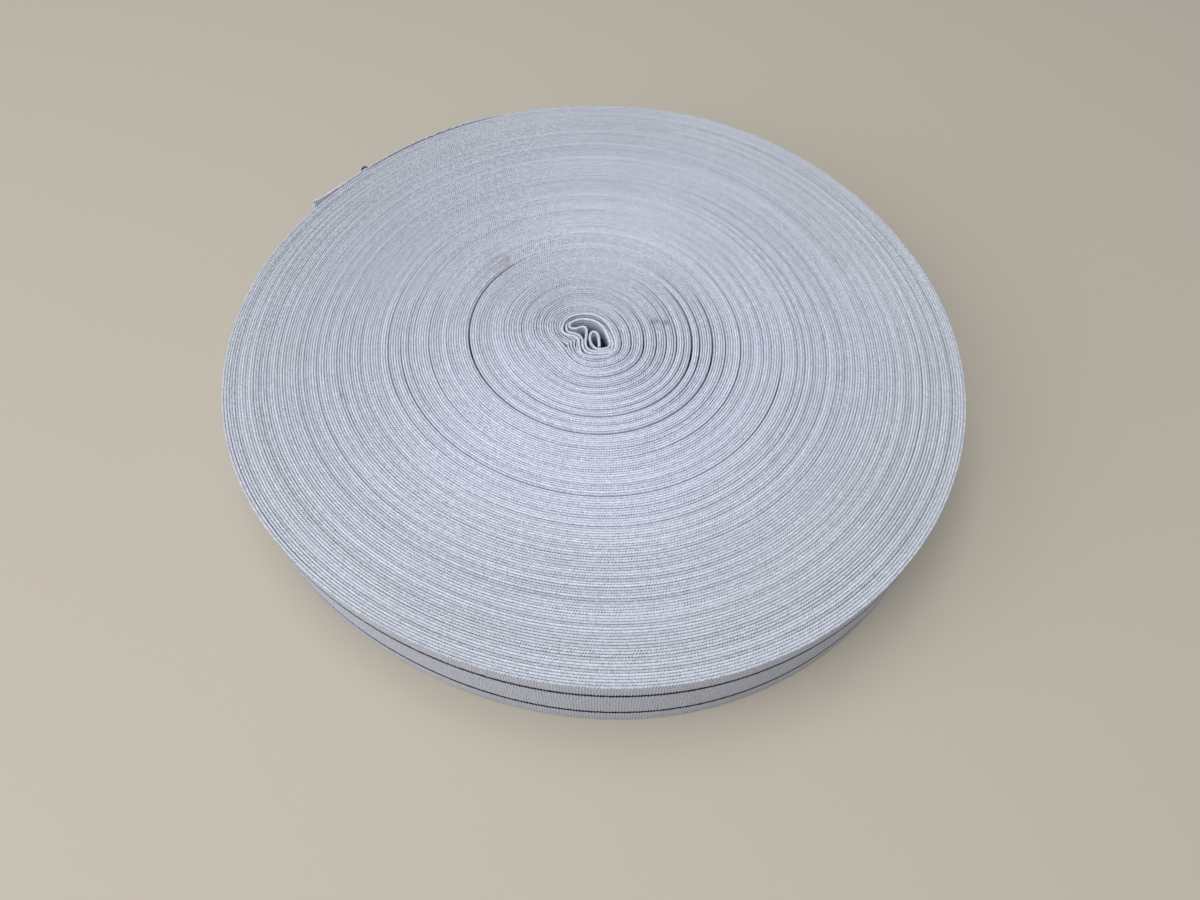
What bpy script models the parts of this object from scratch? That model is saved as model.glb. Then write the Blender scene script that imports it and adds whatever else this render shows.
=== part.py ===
"""Roll of striped woven elastic, lying flat on its edge side, with the loose end pinned at the rim.

Four solids: the wound roll, the loose end of the tape, and a ball-headed pin in two pieces.
Lengths are in metres, worked out from millimetres. Angles are in degrees, anticlockwise from +X seen from above.
"""
import math

import bmesh
import bpy
import numpy as np

MM = 0.001

# Driving sizes of the tape and the roll
TAPE_WIDTH = 40.0 * MM          # the tape stands on its edge, so this is the roll's height
TAPE_THICKNESS = 1.05 * MM
ROLL_RADIUS = 157.0 * MM        # mean radius of the last turn's outer face
TURNS = 137
CLEARANCE = 0.3 * MM            # left between pieces that touch
ANGLE_STEPS = 96

# The eye: three folded turns round the crumpled hollows in the middle
EYE_TURNS = 3
EYE_CENTRE = (-2.9 * MM, -4.0 * MM)
EYE_RADIUS = 12.5 * MM
EYE_OVAL = 0.8 * MM             # how much longer than round, towards EYE_OVAL_ANGLE
EYE_OVAL_ANGLE = 135.0

# The fold that dents the eye's side, and the turns over which half of it fades
DENT_DEPTH = 7.0 * MM
DENT_ANGLE = 212.0
DENT_HALF_WIDTH = 28.0
DENT_FADE_TURNS = 16

# The rim isn't quite round: waves round it, and a flat under the pinned end
RIM_SWELLS = [
    # lobes, swell in mm, towards degrees
    (2, 1.56, -51.0),
    (3, 1.20, -48.0),
    (4, 0.33, 27.0),
    (5, 0.48, -9.0),
]
FLAT_DEPTH = 2.6 * MM
FLAT_ANGLE = 136.0
FLAT_HALF_WIDTH = 12.0
FLAT_SHARE_POWER = 6            # keeps the flat to the outer turns

# Height of the tape's edge above its nominal width, by turn
EDGE_LEVELS = [
    # turn, above nominal in mm
    (3, -0.2),
    (8, 0.1),
    (14, 0.3),
    (21, 0.0),
    (27, 0.3),
    (37, 0.0),
    (46, 0.35),
    (57, 0.1),
    (67, 0.4),
    (78, 0.0),
    (92, 0.3),
    (106, 0.0),
    (120, 0.25),
    (131, 0.05),
    (137, 0.0),
]

# Gaps that open between turns of the top face
RING_GAPS = [
    # after turn, depth in mm, middle degrees, reach degrees to each side
    (27.0, 2.5, 15.0, 65.0),
    (32.5, 5.0, -20.0, 75.0),
    (40.5, 4.0, 257.0, 120.0),
    (52.0, 1.5, -5.0, 60.0),
    (67.5, 3.0, 270.0, 85.0),
    (134.0, 2.5, 215.0, 35.0),
]
GAP_HALF_TURN = 0.42            # half the gap's width at its mouth, in turns
GAP_FLOOR_HALF_TURN = 0.25
GAP_FADE_ANGLE = 30.0

# Hollows of the eye, open right through, as smooth closed outlines in mm from the roll's centre
EYE_HOLLOWS = {
    "crescent": [
        (-9.6, 1.4), (-7.9, 3.7), (-4.3, 4.45), (-1.0, 4.0), (1.6, 2.6), (3.6, -0.3), (5.0, -4.0),
        (6.2, -8.0), (5.8, -10.4), (4.4, -10.8), (3.3, -9.6), (3.0, -6.2), (2.4, -3.2), (0.5, -1.5),
        (-0.8, -1.8), (-1.6, -2.8), (-2.1, -1.9), (-3.0, 0.1), (-5.2, 1.1), (-8.4, 0.3),
    ],
    "loop": [
        (0.2, -3.2), (-0.7, -4.2), (-0.9, -6.6), (-0.3, -8.5), (0.8, -10.3), (2.0, -11.2), (1.9, -9.2),
        (1.7, -6.6), (1.3, -4.5),
    ],
    "triangle": [
        (-7.2, -1.5), (-6.2, -3.1), (-4.9, -4.4), (-4.1, -5.6), (-3.7, -3.8), (-3.6, -1.8), (-4.1, -0.6),
        (-5.5, -0.5),
    ],
}

# Narrow gaps of the eye, as strips along a line
EYE_STRIPS = [
    # width in mm, depth in mm, line in mm from the roll's centre
    (0.9, 45.0, [(-2.2, -3.9), (-2.6, -6.0), (-2.6, -8.4), (-1.9, -10.6), (-0.6, -12.2), (1.1, -13.1)]),
    (1.2, 2.5, [(-12.5, -0.2), (-12.1, 2.6), (-10.3, 5.0), (-7.0, 6.7), (-3.0, 7.0), (0.6, 6.2), (3.4, 4.2),
                (5.3, 1.6)]),
    (0.5, 4.0, [(-13.9, -3.9), (-11.6, -4.9), (-9.3, -5.7), (-7.9, -7.2), (-7.4, -9.2)]),
    (0.6, 6.0, [(-13.9, -8.9), (-12.4, -10.0), (-11.5, -11.6), (-11.3, -13.3)]),
]
STRIP_END_SHARE = 0.4           # width left at a strip's ends
HOLLOW_STEPS = 3                # straight pieces between two points of an outline

# The loose end: how far its inner face stands off the roll, besides the clearance
END_STAND_OFF = [
    # degrees, stand-off in mm
    (106.0, 0.0),
    (114.0, 0.2),
    (126.0, 0.3),
    (134.0, 0.05),
    (138.0, 0.0),
    (142.0, 0.15),
    (145.0, 0.6),
    (147.2, 1.7),
    (149.1, 4.3),
]
END_STEPS = 5

# The pin
PIN_ANGLE = 136.8
PIN_BELOW_EDGE = 3.4 * MM
BALL_RADIUS = 2.3 * MM
SHANK_RADIUS = 0.3 * MM
SHANK_LENGTH = 28.0 * MM
SHANK_POINT = 2.0 * MM
SOCKET_DEPTH = 1.6 * MM
BORE_RADIUS = SHANK_RADIUS + CLEARANCE
BALL_STEPS = 20
SHANK_STEPS = 10


def clear_scene():
    """Take every object out of the scene."""
    for thing in list(bpy.data.objects):
        bpy.data.objects.remove(thing, do_unlink=True)


def turn_share(turn):
    """How far a turn lies from the eye (0) to the rim (1)."""
    return (turn - EYE_TURNS) / (TURNS - EYE_TURNS)


def angle_between(degrees, middle):
    """Signed angle from the middle, wrapped to -180..180 degrees."""
    return (degrees - middle + 180.0) % 360.0 - 180.0


def ring_points(turn, degrees):
    """Outer face of a turn seen from above, as an array of x and y.

    The radius grows evenly from the eye's to the rim's, and so do the centre, the oval and the rim's swells.
    The fold's dent is a bell in the angle, and its depth falls as 1 / (1 + turns since the eye / fade turns).
    """
    share = turn_share(turn)
    radius = EYE_RADIUS + (ROLL_RADIUS - EYE_RADIUS) * share
    radius = radius + (1.0 - share) * EYE_OVAL * np.cos(np.radians(2.0 * (degrees - EYE_OVAL_ANGLE)))
    for lobes, swell_mm, towards in RIM_SWELLS:
        radius = radius + share * swell_mm * MM * np.cos(np.radians(lobes * (degrees - towards)))
    dent = np.exp(-0.5 * (angle_between(degrees, DENT_ANGLE) / DENT_HALF_WIDTH) ** 2)
    radius = radius - DENT_DEPTH * dent / (1.0 + (turn - EYE_TURNS) / DENT_FADE_TURNS)
    flat = np.exp(-0.5 * (angle_between(degrees, FLAT_ANGLE) / FLAT_HALF_WIDTH) ** 2)
    radius = radius - FLAT_DEPTH * flat * share ** FLAT_SHARE_POWER
    x = EYE_CENTRE[0] * (1.0 - share) + radius * np.cos(np.radians(degrees))
    y = EYE_CENTRE[1] * (1.0 - share) + radius * np.sin(np.radians(degrees))
    return np.stack([x, y], axis=-1)


def edge_height(turn):
    """Height of the tape's upper edge at a turn, read from the table of levels."""
    turns = [row[0] for row in EDGE_LEVELS]
    above = [row[1] * MM for row in EDGE_LEVELS]
    return TAPE_WIDTH + np.interp(turn, turns, above)


def smooth_curve(points, steps, closed):
    """Catmull-Rom curve through the points, with this many pieces for each span."""
    points = np.asarray(points, dtype=float)
    count = len(points)
    spans = count if closed else count - 1
    span = np.repeat(np.arange(spans), steps)
    t = np.tile(np.arange(steps) / steps, spans)[:, None]
    if closed:
        before, start, end, after = [points[(span + k) % count] for k in (-1, 0, 1, 2)]
    else:
        before, start, end, after = [points[np.clip(span + k, 0, count - 1)] for k in (-1, 0, 1, 2)]
    curve = 0.5 * (2.0 * start + (end - before) * t
                   + (2.0 * before - 5.0 * start + 4.0 * end - after) * t ** 2
                   + (3.0 * start - before - 3.0 * end + after) * t ** 3)
    return curve if closed else np.vstack([curve, points[-1]])


def side_normals(path):
    """Unit vectors to the left of an open path, point by point."""
    along = np.gradient(path, axis=0)
    along = along / np.linalg.norm(along, axis=1, keepdims=True)
    return np.stack([-along[:, 1], along[:, 0]], axis=-1)


def make_object(name, bm, colour, roughness, metallic=0.0):
    """Turn a bmesh into a smooth-shaded object with its own material."""
    mesh = bpy.data.meshes.new(name)
    bm.to_mesh(mesh)
    bm.free()
    mesh.shade_smooth()
    mesh.set_sharp_from_angle(angle=math.radians(35.0))
    thing = bpy.data.objects.new(name, mesh)
    bpy.context.scene.collection.objects.link(thing)
    material = bpy.data.materials.new(name)
    material.use_nodes = True
    shader = material.node_tree.nodes["Principled BSDF"]
    shader.inputs["Base Color"].default_value = (*colour, 1.0)
    shader.inputs["Roughness"].default_value = roughness
    shader.inputs["Metallic"].default_value = metallic
    mesh.materials.append(material)
    return thing


def add_prism(bm, outline, low, high):
    """Add a closed upright prism on an outline seen from above."""
    count = len(outline)
    area = np.sum(outline[:, 0] * np.roll(outline[:, 1], -1) - outline[:, 1] * np.roll(outline[:, 0], -1))
    if area < 0.0:
        outline = outline[::-1]
    bottom = [bm.verts.new((x, y, low)) for x, y in outline]
    top = [bm.verts.new((x, y, high)) for x, y in outline]
    bm.faces.new(bottom[::-1])
    bm.faces.new(top)
    for i in range(count):
        j = (i + 1) % count
        bm.faces.new((bottom[i], bottom[j], top[j], top[i]))


def add_turned(bm, profile, steps, place):
    """Add a closed solid of revolution about the X axis, moved by the given function.

    The profile lists x and radius, and starts and ends on the axis.
    """
    turn = np.radians(np.arange(steps) * 360.0 / steps)
    rings = []
    for x, radius in profile:
        if radius == 0.0:
            rings.append([bm.verts.new(place((x, 0.0, 0.0)))])
        else:
            rings.append([bm.verts.new(place((x, radius * math.cos(a), radius * math.sin(a)))) for a in turn])
    for first, second in zip(rings, rings[1:]):
        for i in range(steps):
            j = (i + 1) % steps
            corners = [first[i % len(first)], first[j % len(first)], second[j % len(second)], second[i % len(second)]]
            bm.faces.new(list(dict.fromkeys(corners)))


def make_cutter(name, bm):
    """Closed cutter that shows only as wire and isn't part of the object."""
    bmesh.ops.recalc_face_normals(bm, faces=bm.faces)
    mesh = bpy.data.meshes.new(name)
    bm.to_mesh(mesh)
    bm.free()
    cutter = bpy.data.objects.new(name, mesh)
    bpy.context.scene.collection.objects.link(cutter)
    cutter.hide_render = True
    cutter.display_type = "WIRE"
    return cutter


def cut(thing, cutter):
    """Cut the cutter's volume out of a piece."""
    boolean = thing.modifiers.new("cut " + cutter.name, "BOOLEAN")
    boolean.operation = "DIFFERENCE"
    boolean.solver = "EXACT"
    boolean.object = cutter


def gap_depth(degrees, depth_mm, middle, reach):
    """Depth of a ring gap round the roll: full in its middle, easing to nothing at the end of its reach."""
    ease = np.clip((reach - np.abs(angle_between(degrees, middle))) / GAP_FADE_ANGLE, 0.0, 1.0)
    return depth_mm * MM * ease * ease * (3.0 - 2.0 * ease)


def top_rows():
    """Rings of the top face from the eye to the rim, as (turn, gap row or None)."""
    rows = [(float(turn), None) for turn, _ in EDGE_LEVELS[1:-1] if all(abs(turn - gap[0]) > 1.0 for gap in RING_GAPS)]
    for gap in RING_GAPS:
        rows += [(gap[0] - GAP_HALF_TURN, None), (gap[0] + GAP_HALF_TURN, None)]
        rows += [(gap[0] - GAP_FLOOR_HALF_TURN, gap), (gap[0] + GAP_FLOOR_HALF_TURN, gap)]
    return sorted(rows, key=lambda row: row[0])


def build_wound_roll():
    """The wound roll: eye, rings of the top face, rim wall with the step of the last turn, and flat base."""
    degrees = END_STAND_OFF[0][0] + np.arange(ANGLE_STEPS + 1) * 360.0 / ANGLE_STEPS
    bm = bmesh.new()
    rings = []
    for turn, gap in [(float(EYE_TURNS), None)] + top_rows():
        xy = ring_points(turn, degrees[:-1])
        height = np.full(ANGLE_STEPS, edge_height(turn))
        if gap:
            height = height - gap_depth(degrees[:-1], *gap[1:])
        rings.append([bm.verts.new((x, y, z)) for (x, y), z in zip(xy, height)])
    bm.faces.new(rings[0])
    for inner, outer in zip(rings, rings[1:]):
        for i in range(ANGLE_STEPS):
            j = (i + 1) % ANGLE_STEPS
            bm.faces.new((inner[i], outer[i], outer[j], inner[j]))

    # The rim follows the last turn, so it ends one turn further out than it starts
    rim_turn = TURNS - 1.0 + np.arange(ANGLE_STEPS + 1) / ANGLE_STEPS
    rim = ring_points(rim_turn, degrees)
    upper = [bm.verts.new((x, y, TAPE_WIDTH)) for x, y in rim]
    lower = [bm.verts.new((x, y, 0.0)) for x, y in rim]
    last = rings[-1]
    for i in range(ANGLE_STEPS - 1):
        bm.faces.new((last[i], upper[i], upper[i + 1], last[i + 1]))
    bm.faces.new((last[-1], upper[-2], upper[-1], upper[0], last[0]))
    for i in range(ANGLE_STEPS):
        bm.faces.new((upper[i], lower[i], lower[i + 1], upper[i + 1]))
    bm.faces.new((upper[-1], lower[-1], lower[0], upper[0]))
    bm.faces.new(lower[::-1])
    bmesh.ops.recalc_face_normals(bm, faces=bm.faces)
    return make_object("wound_roll", bm, (0.58, 0.61, 0.67), 0.85)


def build_eye_cutter():
    """Prisms of the eye's hollows, and the narrow strips between its folded turns."""
    over = 1.0 * MM
    top = TAPE_WIDTH + over
    bm = bmesh.new()
    for outline in EYE_HOLLOWS.values():
        add_prism(bm, smooth_curve(outline, HOLLOW_STEPS, closed=True) * MM, -over, top)
    for width_mm, depth_mm, line in EYE_STRIPS:
        path = smooth_curve(line, HOLLOW_STEPS, closed=False) * MM
        along = np.linspace(0.0, math.pi, len(path))[:, None]
        half = 0.5 * width_mm * MM * (STRIP_END_SHARE + (1.0 - STRIP_END_SHARE) * np.sqrt(np.sin(along).clip(0.0)))
        side = side_normals(path) * half
        add_prism(bm, np.vstack([path + side, (path - side)[::-1]]), max(TAPE_WIDTH - depth_mm * MM, -over), top)
    return make_cutter("eye_cutter", bm)


def build_loose_end():
    """The last stretch of tape: a sheet on edge that hugs the roll, is pinned, and flares off at its tip."""
    stations = smooth_curve([(degrees, stand_mm) for degrees, stand_mm in END_STAND_OFF], END_STEPS, closed=False)
    degrees = stations[:, 0]
    rim_start = END_STAND_OFF[0][0]
    surface = ring_points(TURNS - 1.0 + (degrees - rim_start) / 360.0, degrees)
    outward = -side_normals(surface)
    inner = surface + outward * (CLEARANCE + stations[:, 1:] * MM)
    root_gap = CLEARANCE * (inner[1] - inner[0]) / np.linalg.norm(inner[1] - inner[0])
    inner[0] = inner[0] + root_gap
    outer = inner - side_normals(inner) * TAPE_THICKNESS
    bm = bmesh.new()
    add_prism(bm, np.vstack([inner, outer[::-1]]), 0.0, TAPE_WIDTH)
    bmesh.ops.recalc_face_normals(bm, faces=bm.faces)
    return make_object("loose_end", bm, (0.60, 0.62, 0.68), 0.85)


def pin_place():
    """Function that turns a point of the pin, with X pointing out of the roll, into its place."""
    surface = ring_points(TURNS - 1.0 + (PIN_ANGLE - END_STAND_OFF[0][0]) / 360.0, np.array([PIN_ANGLE]))[0]
    out = np.array([math.cos(math.radians(PIN_ANGLE)), math.sin(math.radians(PIN_ANGLE))])
    ball = surface + out * (TAPE_THICKNESS + 2.0 * CLEARANCE + BALL_RADIUS)
    height = TAPE_WIDTH - PIN_BELOW_EDGE

    def place(point):
        x, y, z = point
        return (ball[0] + out[0] * x - out[1] * y, ball[1] + out[1] * x + out[0] * y, height + z)

    return place


def build_pin():
    """The pin's ball with the socket for its wire, the wire with its point, and the bore that the wire lies in."""
    place = pin_place()
    mouth = math.asin(BORE_RADIUS / BALL_RADIUS)
    arc = np.linspace(0.0, math.pi - mouth, BALL_STEPS // 2)
    ball_profile = [(BALL_RADIUS, 0.0)] + [(BALL_RADIUS * math.cos(a), BALL_RADIUS * math.sin(a)) for a in arc[1:]]
    socket_floor = -BALL_RADIUS + SOCKET_DEPTH
    ball_profile += [(socket_floor, BORE_RADIUS), (socket_floor, 0.0)]
    bm = bmesh.new()
    add_turned(bm, ball_profile, BALL_STEPS, place)
    bmesh.ops.recalc_face_normals(bm, faces=bm.faces)
    make_object("pin_head", bm, (0.008, 0.014, 0.07), 0.2)

    wire_start = socket_floor - CLEARANCE
    wire_end = wire_start - SHANK_LENGTH
    wire_profile = [(wire_start, 0.0), (wire_start, SHANK_RADIUS), (wire_end + SHANK_POINT, SHANK_RADIUS),
                    (wire_end, 0.0)]
    bm = bmesh.new()
    add_turned(bm, wire_profile, SHANK_STEPS, place)
    bmesh.ops.recalc_face_normals(bm, faces=bm.faces)
    make_object("pin_shank", bm, (0.55, 0.55, 0.56), 0.3, metallic=1.0)

    bore_end = wire_end - CLEARANCE
    bm = bmesh.new()
    add_turned(bm, [(0.0, 0.0), (0.0, BORE_RADIUS), (bore_end, BORE_RADIUS), (bore_end, 0.0)], SHANK_STEPS, place)
    return make_cutter("pin_bore", bm)


def centre_on_box():
    """Move everything so that the middle of the object's box, seen from above, is the origin."""
    pieces = [thing for thing in bpy.data.objects if thing.type == "MESH"]
    solids = [thing for thing in pieces if not thing.hide_render]
    corners = np.array([vertex.co for thing in solids for vertex in thing.data.vertices])
    middle = 0.5 * (corners.min(axis=0) + corners.max(axis=0))
    centre = bpy.data.objects.new("roll_centre", None)
    bpy.context.scene.collection.objects.link(centre)
    for thing in pieces:
        thing.parent = centre
    centre.location = (-middle[0], -middle[1], 0.0)


clear_scene()
roll = build_wound_roll()
loose_end = build_loose_end()
bore = build_pin()
cut(roll, build_eye_cutter())
cut(roll, bore)
cut(loose_end, bore)
centre_on_box()
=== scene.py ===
# %% [markdown]
# # A roll of striped woven elastic
#
# The real thing is some seventy metres of flat woven tape, forty millimetres wide. It is wound on itself
# without a core and laid on its side, so the tape stands on its edge. The middle is a crumpled eye, the last
# stretch is held by a pin at the rim, and its cut end flares off a little.
#
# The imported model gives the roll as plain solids. This file dresses it: every turn of the tape is modelled
# along the real spiral, and the weave, the two dark stripes and the handling marks are procedural materials.

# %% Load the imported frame
import math

import bpy
import numpy as np
from mathutils import Matrix, Vector


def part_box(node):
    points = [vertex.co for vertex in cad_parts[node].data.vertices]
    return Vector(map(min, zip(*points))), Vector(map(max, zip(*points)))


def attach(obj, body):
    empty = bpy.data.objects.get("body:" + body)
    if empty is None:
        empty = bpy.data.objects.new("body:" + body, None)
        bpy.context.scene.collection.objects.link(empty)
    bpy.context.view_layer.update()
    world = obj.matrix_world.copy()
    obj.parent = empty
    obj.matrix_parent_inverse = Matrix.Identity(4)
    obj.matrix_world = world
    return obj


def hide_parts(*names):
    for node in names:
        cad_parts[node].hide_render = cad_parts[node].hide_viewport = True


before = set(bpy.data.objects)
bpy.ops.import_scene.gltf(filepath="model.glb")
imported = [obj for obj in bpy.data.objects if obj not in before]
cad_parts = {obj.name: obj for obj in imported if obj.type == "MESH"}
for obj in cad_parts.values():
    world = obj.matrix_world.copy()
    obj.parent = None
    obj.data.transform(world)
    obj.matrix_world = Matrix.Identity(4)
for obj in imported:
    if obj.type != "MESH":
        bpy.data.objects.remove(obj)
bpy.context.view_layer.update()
print("packed nodes:", sorted(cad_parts))

# %% [markdown]
# ## Sizes of the tape and the roll
#
# Everything follows from a few sizes: the width and thickness of the tape, the radius of the roll and the
# number of turns. The plan of a turn is one formula. The radius grows evenly from the eye to the rim, and
# the oval of the eye, the dent of its fold and the slow waves of the rim are added to it.

# %% Driving sizes and the plan of a turn
MM = 0.001
TAPE_WIDTH = 40.0 * MM
TAPE_THICKNESS = 1.05 * MM
ROLL_RADIUS = 157.0 * MM
TURNS = 137
END_ROOT_ANGLE = 106.0          # where the last turn leaves the roll as the loose end

EYE_TURNS = 3
EYE_CENTRE = (-2.9 * MM, -4.0 * MM)
EYE_RADIUS = 12.5 * MM
EYE_OVAL = 0.8 * MM
EYE_OVAL_ANGLE = 135.0

DENT_DEPTH = 7.0 * MM
DENT_ANGLE = 212.0
DENT_HALF_WIDTH = 28.0
DENT_FADE_TURNS = 16

RIM_SWELLS = [
    # lobes, swell in mm, towards degrees
    (2, 1.56, -51.0),
    (3, 1.20, -48.0),
    (4, 0.33, 27.0),
    (5, 0.48, -9.0),
]
FLAT_DEPTH = 2.6 * MM
FLAT_ANGLE = 136.0
FLAT_HALF_WIDTH = 15.0
FLAT_SHARE_POWER = 6


def angle_between(degrees, middle):
    """Signed angle from the middle, wrapped to -180..180 degrees."""
    return (degrees - middle + 180.0) % 360.0 - 180.0


def bell(distance, half_width):
    """Bell curve: exp(-(distance / half width)^2 / 2)."""
    return np.exp(-0.5 * (distance / half_width) ** 2)


def ease(value):
    """Smooth step: 3 v^2 - 2 v^3 of the value held between 0 and 1."""
    value = np.clip(value, 0.0, 1.0)
    return value * value * (3.0 - 2.0 * value)


def outward(degrees):
    """Unit vectors from the middle of the roll: (cosine, sine) of the angle."""
    return np.stack([np.cos(np.radians(degrees)), np.sin(np.radians(degrees))], axis=-1)


def turn_face(turn, degrees):
    """Plan of a turn's outer face about the middle of the roll.

    Radius = even growth from eye to rim + oval + rim waves - dent of the fold - flat under the pinned end.
    The centre drifts from the eye's to the roll's own as the turns grow.
    """
    share = (turn - EYE_TURNS) / (TURNS - EYE_TURNS)
    radius = EYE_RADIUS + (ROLL_RADIUS - EYE_RADIUS) * share
    radius = radius + (1.0 - share) * EYE_OVAL * np.cos(np.radians(2.0 * (degrees - EYE_OVAL_ANGLE)))
    for lobes, swell_mm, towards in RIM_SWELLS:
        radius = radius + share * swell_mm * MM * np.cos(np.radians(lobes * (degrees - towards)))
    dent = bell(angle_between(degrees, DENT_ANGLE), DENT_HALF_WIDTH)
    radius = radius - DENT_DEPTH * dent / (1.0 + (turn - EYE_TURNS) / DENT_FADE_TURNS)
    flat = bell(angle_between(degrees, FLAT_ANGLE), FLAT_HALF_WIDTH)
    radius = radius - FLAT_DEPTH * flat * share ** FLAT_SHARE_POWER
    drift = np.multiply.outer(1.0 - share, np.array(EYE_CENTRE))
    return drift + radius[..., None] * outward(degrees)


RIM_STEPS = 96
rim_degrees = END_ROOT_ANGLE + np.linspace(0.0, 360.0, RIM_STEPS + 1)
rim_plan = turn_face(TURNS - 1.0 + (rim_degrees - END_ROOT_ANGLE) / 360.0, rim_degrees)
roll_low, roll_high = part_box("wound_roll")
roll_middle = 0.5 * (np.array(roll_low[:2]) + np.array(roll_high[:2]))
roll_centre = roll_middle - 0.5 * (rim_plan.min(axis=0) + rim_plan.max(axis=0))
print("middle of the winding in the frame, mm:", np.round(roll_centre / MM, 2))

# %% [markdown]
# ## The camera
#
# The picture looks down on the roll from close by, so near turns look wider than far ones. The camera's
# place, dip and lens were worked out from the outline, from the even pitch of the turns and from the height
# between the two stripes. A camera looks along its own -Z with +Y up, so its axes are written as columns.

# %% Camera
CAMERA_PLACE = (0.0, -231.87 * MM, 303.4 * MM)      # from the middle of the roll, on the floor
CAMERA_DIP = math.radians(57.397)
CAMERA_YAW = math.radians(0.7706)
CAMERA_TILT = math.radians(0.3025)
CAMERA_LENS = 24.0              # in mm, as the width of the sensor is
SENSOR_WIDTH = 36.0


def camera_axes(dip, yaw, tilt):
    """Right, up and forward of a camera turned by the yaw, lowered by the dip, then rolled by the tilt."""
    forward = Vector((math.sin(yaw) * math.cos(dip), math.cos(yaw) * math.cos(dip), -math.sin(dip)))
    level_right = Vector((math.cos(yaw), -math.sin(yaw), 0.0))
    level_up = level_right.cross(forward)
    right = level_right * math.cos(tilt) + level_up * math.sin(tilt)
    up = level_up * math.cos(tilt) - level_right * math.sin(tilt)
    return right, up, forward


def add_object(name, data):
    """Object made of the given data and linked into the scene."""
    made = bpy.data.objects.new(name, data)
    bpy.context.scene.collection.objects.link(made)
    return made


camera_data = bpy.data.cameras.new("camera")
camera_data.lens = CAMERA_LENS
camera_data.sensor_width = SENSOR_WIDTH
camera_data.clip_start = 10.0 * MM
camera = add_object("camera", camera_data)
right, up, forward = camera_axes(CAMERA_DIP, CAMERA_YAW, CAMERA_TILT)
place = Vector(CAMERA_PLACE) + Vector((roll_centre[0], roll_centre[1], 0.0))
camera.matrix_world = Matrix.Translation(place) @ Matrix((right, up, -forward)).transposed().to_4x4()
bpy.context.scene.camera = camera
print("camera height, mm:", round(camera.location.z / MM, 1))

# %% [markdown]
# ## The spiral
#
# The tape is one long spiral, so its stations are numbered along it: a row for each turn and a column for
# each angle. The winding starts at the bottom of the eye, after three folded turns, and ends where the
# loose end leaves. The step count divides the circle so that a station falls on that last angle.

# %% Stations along the spiral
STEPS_PER_TURN = 180
SPIRAL_START_ANGLE = 270.0
SPIRAL_ROUNDS = 133             # whole rounds from the start to the last pass of its angle
SPIRAL_START_TURN = TURNS - 1.0 + (SPIRAL_START_ANGLE - END_ROOT_ANGLE) / 360.0 - SPIRAL_ROUNDS

station_count = round((TURNS - SPIRAL_START_TURN) * STEPS_PER_TURN) + 1
row_count = math.ceil(station_count / STEPS_PER_TURN)
stations = np.arange(row_count * STEPS_PER_TURN)
station_turn = SPIRAL_START_TURN + stations / STEPS_PER_TURN
station_degrees = SPIRAL_START_ANGLE + stations * 360.0 / STEPS_PER_TURN
print("stations:", station_count, "rows:", row_count, "first turn:", round(SPIRAL_START_TURN, 3))

# %% [markdown]
# ## Gaps between the turns
#
# A wound tape is never packed evenly. A few turns have slipped and left a dark gap that follows the spiral
# for part of a turn, and many more stand off by a hair. The table gives the gaps that catch the eye, and a
# seeded draw adds the small ones. Opening a gap presses its neighbours together: each turn moves by half of
# the opening, less and less with the number of turns between.

# %% Openings along the spiral
RING_GAPS = [
    # after turn, opening in mm, from degrees, to degrees, fading over degrees
    (4.3, 0.60, 178.0, 236.0, 16.0),
    (4.6, 0.34, -80.0, 50.0, 30.0),
    (5.4, 0.40, 176.0, 300.0, 20.0),
    (6.5, 0.36, 170.0, 240.0, 20.0),
    (7.5, 1.10, 203.0, 219.0, 16.0),
    (8.8, 0.40, -150.0, 50.0, 30.0),
    (13.2, 0.38, -110.0, 40.0, 40.0),
    (18.9, 0.38, -120.0, 20.0, 40.0),
    (22.8, 0.36, -60.0, 50.0, 40.0),
    (27.0, 0.34, -20.0, 60.0, 30.0),
    (27.0, 0.24, -70.0, -20.0, 30.0),
    (29.5, 0.24, -150.0, 20.0, 40.0),
    (32.5, 0.72, -60.0, 34.0, 30.0),
    (32.5, 0.40, -135.0, -60.0, 30.0),
    (36.0, 0.46, -50.0, 50.0, 40.0),
    (40.5, 0.55, 128.0, 262.0, 30.0),
    (40.5, 0.60, 262.0, 386.0, 30.0),
    (46.0, 0.24, -70.0, 60.0, 40.0),
    (52.0, 0.34, -70.0, 50.0, 40.0),
    (56.5, 0.20, 150.0, 230.0, 30.0),
    (67.5, 0.30, 184.0, 350.0, 40.0),
    (72.0, 0.14, 170.0, 235.0, 30.0),
    (134.6, 0.16, 196.0, 232.0, 20.0),
]
BASE_OPENING = 0.05 * MM
SMALL_GAP_COUNT = 110
SMALL_GAPS = (0.02 * MM, 0.10 * MM)
SMALL_GAP_TURNS = (6.0, 133.0)
SMALL_GAP_REACH = (25.0, 140.0)         # in degrees
SMALL_GAP_FADE = 25.0
PRESS_FADE_TURNS = 5.0

# Bunches of about four turns show as soft ribs at the right, at the left and in front
BUNCH_TURNS = 3.9
BUNCH_SIDES = [
    # middle degrees, spread of the middle, reach in degrees, widest opening in mm, deepest dip in mm
    (-12.0, 14.0, 80.0, 0.12, 0.17),
    (190.0, 25.0, 55.0, 0.06, 0.18),
    (275.0, 25.0, 50.0, 0.08, 0.07),
]


def gap_along_spiral(turn, opening, start, end, fade):
    """Opening along the whole spiral: full between two angles of one turn, easing off at both ends."""
    middle = 0.5 * (start + end)
    reach = 0.5 * (end - start) + 0.5 * fade
    part = ((middle - SPIRAL_START_ANGLE) % 360.0) / 360.0
    centre = SPIRAL_START_TURN + part + round(turn - SPIRAL_START_TURN - part)
    distance = np.abs(station_turn - centre) * 360.0
    return opening * ease((reach - distance) / fade)


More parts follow.
